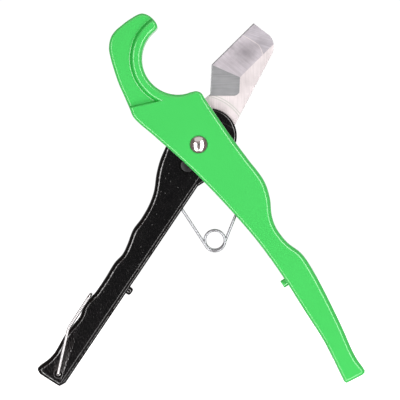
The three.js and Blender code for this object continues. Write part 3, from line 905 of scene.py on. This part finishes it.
def blade_half(places):
    """Half the thickness, with the wide and the thin bevels."""
    slope = (BLADE_HALF - EDGE_HALF) / BEVEL_WIDTH
    nearest = np.where(is_ground(places), np.minimum(*from_edges(places)), BEVEL_WIDTH)
    half = np.minimum(EDGE_HALF + slope * nearest, BLADE_HALF)
    edge_slope = (EDGE_HALF + slope * EDGE_STRIP - EDGE_LEAST) / EDGE_STRIP
    return np.minimum(half, EDGE_LEAST + edge_slope * nearest)


def blade_creases():
    """Lines that the mesh follows along the bevels."""
    insets = (EDGE_STRIP, BEVEL_WIDTH)
    lines = [beside(edge, -inset, 30) for edge in (UPPER_EDGE, LOWER_EDGE) for inset in insets]
    lines.append(np.array([BLADE_VERTEX, BEVEL_CORNER]))
    for radius in (FOOT_CORNER_RADIUS, FOOT_CORNER_RADIUS + GRIND_STEP):
        corner = arc(FOOT_CORNER, radius, -90, 5)
        lines.append(np.vstack([[(-5.0, corner[0][1])], corner]))
    lines += [tip_curve(), tip_curve(TIP_HIGHLIGHT_WIDTH)]
    return lines


def blade_kinds(piece):
    """The number of each face's material, in make_blade's order."""
    plate, bevel, lower_bevel, tip_bevel = range(4)
    centres = face_centres(piece)
    upper, lower = from_edges(centres)
    nearest = np.minimum(upper, lower)
    ground = (nearest < BEVEL_WIDTH - 0.01) & is_ground(centres) & (squareness(piece) > 0.8)
    beyond_tip = [(60, 51), (60, 90), (24, 90)]
    # the strip between these two borders keeps the plate's brighter steel as a painted highlight
    past_painted_highlight = inside(centres, np.vstack([tip_curve(TIP_HIGHLIGHT_WIDTH), beyond_tip]))
    past_border = inside(centres, np.vstack([tip_curve(), beyond_tip]))
    # the lower bevel and the edge strip take the darker steel as painted shade
    return np.select(
        [~ground, nearest < EDGE_STRIP, past_painted_highlight, past_border, lower < upper],
        [plate, lower_bevel, tip_bevel, plate, lower_bevel], bevel)


def make_blade():
    outline, radii = blade_outline()
    piece = relief("blade_steel", outline, radii, blade_half, blade_creases(), steps=2)
    outside = 3.0
    combine(piece, [
        disc(BUSH_RADIUS + CLEARANCE, -outside, outside),
        disc(SCREW_RADIUS + CLEARANCE, -outside, outside, BLADE_SCREW, 48),
    ], "DIFFERENCE")
    materials = [PLATE, BEVEL, SHADED_LOWER_BEVEL, TIP_BEVEL]
    finished(piece, materials, "blade", "cutter", blade_kinds(piece), sharp=1.5)


# ---- Fasteners ----

NUT_FRONT = BODY_HALF + WASHER_THICKNESS + 2 * FIT
NUT_BACK = NUT_FRONT + NUT_HEIGHT
COLLAR_TOP = NUT_BACK + COLLAR_HEIGHT


def make_pivot_bolt():
    """A domed head with a short straight side, on a chamfered shank."""
    seat = -BODY_HALF + HEAD_RECESS - FIT
    crown = (BOLT_HEAD_RADIUS ** 2 + BOLT_DOME_HEIGHT ** 2) / (2 * BOLT_DOME_HEIGHT)
    half_angle = math.asin(BOLT_HEAD_RADIUS / crown)
    middle = seat - BOLT_HEAD_HEIGHT + crown
    angles = [half_angle * k / 24 for k in range(25)]
    dome = [(crown * math.sin(angle), middle - crown * math.cos(angle)) for angle in angles]
    side = [(BOLT_HEAD_RADIUS, seat), (BOLT_RADIUS, seat)]
    end = COLLAR_TOP + BOLT_STANDOUT
    chamfer = 0.6
    tail = [(BOLT_RADIUS, end - chamfer), (BOLT_RADIUS - chamfer, end), (0, end)]
    bolt = turned("pivot_bolt_steel", dome + side + tail)
    finished(bolt, [MIRROR], "pivot_bolt", "body")


def make_pivot_bush():
    end = BODY_SLOT_HALF - FIT
    bush = ring("pivot_bush_steel", BOLT_RADIUS + CLEARANCE, BUSH_RADIUS, -end, end)
    finished(bush, [ZINC], "pivot_bush", "body")


def make_hub_shim(name, side):
    """A shim between the hub and a cheek. side is -1 at the front and 1 at the back."""
    middle = side * (HANDLE_HALF + BODY_SLOT_HALF) / 2
    half = SHIM_THICKNESS / 2
    shim = ring(name + "_steel", BUSH_RADIUS + CLEARANCE, SHIM_RADIUS, middle - half, middle + half)
    finished(shim, [ZINC], name, "body")


def make_pivot_washer():
    seat = BODY_HALF + FIT
    bore = BOLT_RADIUS + CLEARANCE
    washer = ring("pivot_washer_steel", bore, WASHER_RADIUS, seat, seat + WASHER_THICKNESS, edge=0.2)
    finished(washer, [ZINC], "pivot_washer", "body")


def make_pivot_nut():
    """A chamfered hexagon nut, with the collar that holds its nylon ring."""
    corner = NUT_ACROSS_FLATS / math.sqrt(3)
    nut = prism(arc((0, 0), corner, 0, 300, corner), NUT_FRONT, NUT_BACK)
    outside = corner + 0.1
    chamfers = turned("cutter", [
        (0, NUT_FRONT), (corner - 0.5, NUT_FRONT), (outside, NUT_FRONT + 0.35), (outside, NUT_BACK - 0.7),
        (corner - 1.2, NUT_BACK), (0, NUT_BACK),
    ])
    combine(nut, [chamfers], "INTERSECT")
    root = NUT_BACK - 0.5
    collar = turned("collar", [
        (COLLAR_BORE, root), (COLLAR_RADIUS, root), (COLLAR_RADIUS, COLLAR_TOP - 0.4),
        (COLLAR_RADIUS - 0.1, COLLAR_TOP - 0.1), (COLLAR_BORE + 0.1, COLLAR_TOP),
        (COLLAR_BORE, COLLAR_TOP - 0.05),
    ])
    combine(nut, [collar], "UNION")
    combine(nut, [disc(BOLT_RADIUS + CLEARANCE, NUT_FRONT - 1, COLLAR_TOP + 1)], "DIFFERENCE")
    nut.name = "pivot_nut_steel"
    finished(nut, [ZINC], "pivot_nut", "body")


def make_nut_insert():
    insert = ring("nut_insert_nylon", BOLT_RADIUS + FIT, INSERT_RADIUS, NUT_BACK + FIT, COLLAR_TOP - 2 * FIT)
    finished(insert, [NYLON], "nut_insert", "body")


def make_blade_screw():
    """A flat chamfered head on a plain shank."""
    seat = -SCREW_SEAT - FIT
    top = -HANDLE_HALF + FIT
    end = HANDLE_HALF - 2 * FIT
    head = [
        (0, top), (SCREW_HEAD_RADIUS - 0.5, top), (SCREW_HEAD_RADIUS - 0.1, top + 0.12),
        (SCREW_HEAD_RADIUS, top + 0.4), (SCREW_HEAD_RADIUS, seat),
    ]
    shank = [(SCREW_RADIUS, seat), (SCREW_RADIUS, end), (0, end)]
    screw = turned("blade_screw_steel", head + shank, BLADE_SCREW)
    finished(screw, [DARK], "blade_screw", "cutter")


def make_blade_nut():
    bore = SCREW_RADIUS + CLEARANCE
    seat, top = SCREW_SEAT + FIT, HANDLE_HALF - FIT
    nut = ring("blade_nut_steel", bore, SCREW_HEAD_RADIUS, seat, top, BLADE_SCREW, edge=0.25)
    finished(nut, [DARK], "blade_nut", "cutter")


# ---- Wire pieces ----

def spring_path():
    """Points along the front arm, the coil and the back arm."""
    start_angle, turn = math.radians(213.2), math.radians(484.8)
    coil = SPRING_RADIUS * turn
    total = SPRING_FRONT_ARM + coil + SPRING_BACK_ARM
    points = []
    for distance in np.linspace(-SPRING_FRONT_ARM, coil + SPRING_BACK_ARM, round(total / 0.6)):
        on_coil = min(max(distance, 0), coil)
        angle = start_angle + on_coil / SPRING_RADIUS
        past = distance - on_coil
        depth = (on_coil / coil - 0.5) * turn / (2 * math.pi) * SPRING_PITCH
        points.append((
            SPRING_CENTRE[0] + SPRING_RADIUS * math.cos(angle) - past * math.sin(angle),
            depth,
            SPRING_CENTRE[1] + SPRING_RADIUS * math.sin(angle) + past * math.cos(angle) + SPRING_LEAN * depth,
        ))
    return points


def make_torsion_spring():
    """The spring follows both handles, and winds between them."""
    spring = swept("torsion_spring_wire", spring_path(), SPRING_WIRE)
    finished(spring, [WIRE], "torsion_spring", None)
    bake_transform(spring)


def bent_path(points, bend, spacing=0.6):
    """Straight stretches with rounded corners through the given points."""
    corners = [Vector(p) for p in points]
    path = [corners[0]]
    for before, corner, after in zip(corners[:-2], corners[1:-1], corners[2:]):
        start = corner + (before - corner).normalized() * bend
        stop = corner + (after - corner).normalized() * bend
        count = max(1, round((start - path[-1]).length / (4 * spacing)))
        path += [path[-1].lerp(start, i / count) for i in range(1, count + 1)]
        steps = max(3, round(2 * bend / spacing))
        for i in range(1, steps + 1):
            t = i / steps
            path.append(start * (1 - t) ** 2 + corner * 2 * t * (1 - t) + stop * t ** 2)
    path.append(corners[-1])
    return path


def make_lock_bail():
    """Two joined sides that straddle the handle and end in its cross hole."""
    pivot_x, pivot_z = BAIL_PIVOT
    front = [
        (pivot_x, -0.8, pivot_z), (pivot_x, -BAIL_HALF_WIDTH, pivot_z),
        (-75.9, -BAIL_HALF_WIDTH, -107), (-62.9, -BAIL_HALF_WIDTH, -87.1),
    ]
    back = [(x, -y, z) for x, y, z in reversed(front)]
    bail = swept("lock_bail_wire", bent_path(front + back, 2.2), BAIL_WIRE)
    finished(bail, [BRIGHT_WIRE], "lock_bail", "bail")


# ---- Studio ----

CLOSED_REACH = 0.016  # how far the closed handle reaches below the open tool's feet, m
LIGHT_AIM = Vector((0, 0, 0.11))  # the middle of the tool
VIEW_CENTRE = (0.76, -32.3)  # in the tool's plane, mm
VIEW_WIDTH = 232.9
VIEW_DISTANCE = 1500.0


def make_floor():
    """A white table that glows a little."""
    bpy.ops.mesh.primitive_circle_add(vertices=96, radius=2.5, fill_type="NGON")
    floor = bpy.context.object
    floor.name = "floor"
    floor.location.z = -CLOSED_REACH
    shader = Shader("floor", (0.85, 0.85, 0.85), 0.9, Specular_IOR_Level=0.0)
    shader.main.inputs["Emission Color"].default_value = (1, 1, 1, 1)
    reach = shader.vector_maths("LENGTH", shader.place)
    glow = shader.ranged(reach, 0.25, 0.9, 0.7, 1.1)
    shader.tree.links.new(glow, shader.main.inputs["Emission Strength"])
    floor.data.materials.append(shader.material)
    floor.visible_diffuse = floor.visible_glossy = floor.visible_shadow = False


def make_light(name, place, size, power, glossy=True):
    """A rectangular light that looks at the tool, in metres and watts."""
    data = bpy.data.lights.new(name, "AREA")
    data.shape = "RECTANGLE"
    data.size, data.size_y = size
    data.energy = power
    light = bpy.data.objects.new(name, data)
    light.location = place
    light.rotation_euler = (LIGHT_AIM - Vector(place)).to_track_quat("-Z", "Y").to_euler()
    light.visible_glossy = glossy
    bpy.context.scene.collection.objects.link(light)


def make_world():
    """White to the camera. The tool sees a dim room that is palest behind the tool.

    Where the camera stands there is a small dark spot with a pale ring round it."""
    world = bpy.data.worlds.new("studio")
    bpy.context.scene.world = world
    world.use_nodes = True
    tree = world.node_tree
    new, link = tree.nodes.new, tree.links.new
    output = tree.nodes["World Output"]
    seen = tree.nodes["Background"]
    seen.inputs["Color"].default_value = (1, 1, 1, 1)
    seen.inputs["Strength"].default_value = 1.05
    lit = new("ShaderNodeBackground")
    direction = new("ShaderNodeTexCoord").outputs["Generated"]
    split = new("ShaderNodeSeparateXYZ")
    spread = new("ShaderNodeMapRange")
    spread.inputs["From Min"].default_value = -1.0
    ramp = new("ShaderNodeValToRGB")
    stops = (
        (0.006, (0.02, 0.02, 0.02)), (0.013, (0.42, 0.38, 0.38)), (0.035, (0.3, 0.24, 0.22)),
        (0.1, (0.15, 0.1, 0.09)), (0.6, (0.18, 0.15, 0.14)), (0.75, (0.45, 0.45, 0.45)),
        (0.97, (1.1, 1.1, 1.1)),
    )
    for position, _ in stops[1:-1]:
        ramp.color_ramp.elements.new(position)
    for element, (position, colour) in zip(ramp.color_ramp.elements, stops):
        element.position = position
        element.color = (*colour, 1)
    choose = new("ShaderNodeMixShader")
    link(direction, split.inputs[0])
    link(split.outputs["Y"], spread.inputs["Value"])
    link(spread.outputs["Result"], ramp.inputs["Fac"])
    link(ramp.outputs["Color"], lit.inputs["Color"])
    link(new("ShaderNodeLightPath").outputs["Is Camera Ray"], choose.inputs[0])
    link(lit.outputs[0], choose.inputs[1])
    link(seen.outputs[0], choose.inputs[2])
    link(choose.outputs[0], output.inputs["Surface"])


def make_camera():
    """Straight on to the tool's front face, with the handles' ends at the same height."""
    data = bpy.data.cameras.new("camera")
    data.sensor_width = 36
    data.lens = data.sensor_width * VIEW_DISTANCE / VIEW_WIDTH
    data.clip_start = 0.01
    camera = bpy.data.objects.new("camera", data)
    place = TOOL @ Vector((VIEW_CENTRE[0], -BODY_HALF - VIEW_DISTANCE, VIEW_CENTRE[1]))
    upright = Matrix.Rotation(LEVEL, 4, "Y") @ Matrix.Rotation(math.pi / 2, 4, "X")
    camera.matrix_world = Matrix.Translation(place) @ upright
    bpy.context.scene.collection.objects.link(camera)
    bpy.context.scene.camera = camera


bpy.context.scene.view_settings.view_transform = "Standard"
make_camera()
make_world()
make_floor()
make_light("left_box", (-0.62, -0.9, -0.2), (0.5, 1.5), 11.7)
make_light("right_box", (0.62, -0.9, 0.0), (0.5, 1.9), 14.8)
make_light("low_left_box", (-0.32, -0.6, -0.8), (0.46, 0.35), 2)
make_light("low_right_box", (0.32, -0.6, -0.8), (0.46, 0.35), 2)
make_light("top_box", (0.0, -0.55, 0.95), (1.4, 0.9), 2.4)
make_light("back_left", (-0.8, 0.8, 0.6), (0.5, 0.5), 5, glossy=False)
make_light("back_right", (0.8, 0.8, 0.6), (0.5, 0.5), 5, glossy=False)
make_hook_body()
make_blade_handle()
make_blade()
make_pivot_bolt()
make_pivot_bush()
make_hub_shim("hub_shim_front", -1)
make_hub_shim("hub_shim_back", 1)
make_pivot_washer()
make_pivot_nut()
make_nut_insert()
make_blade_screw()
make_blade_nut()
make_torsion_spring()
make_lock_bail()
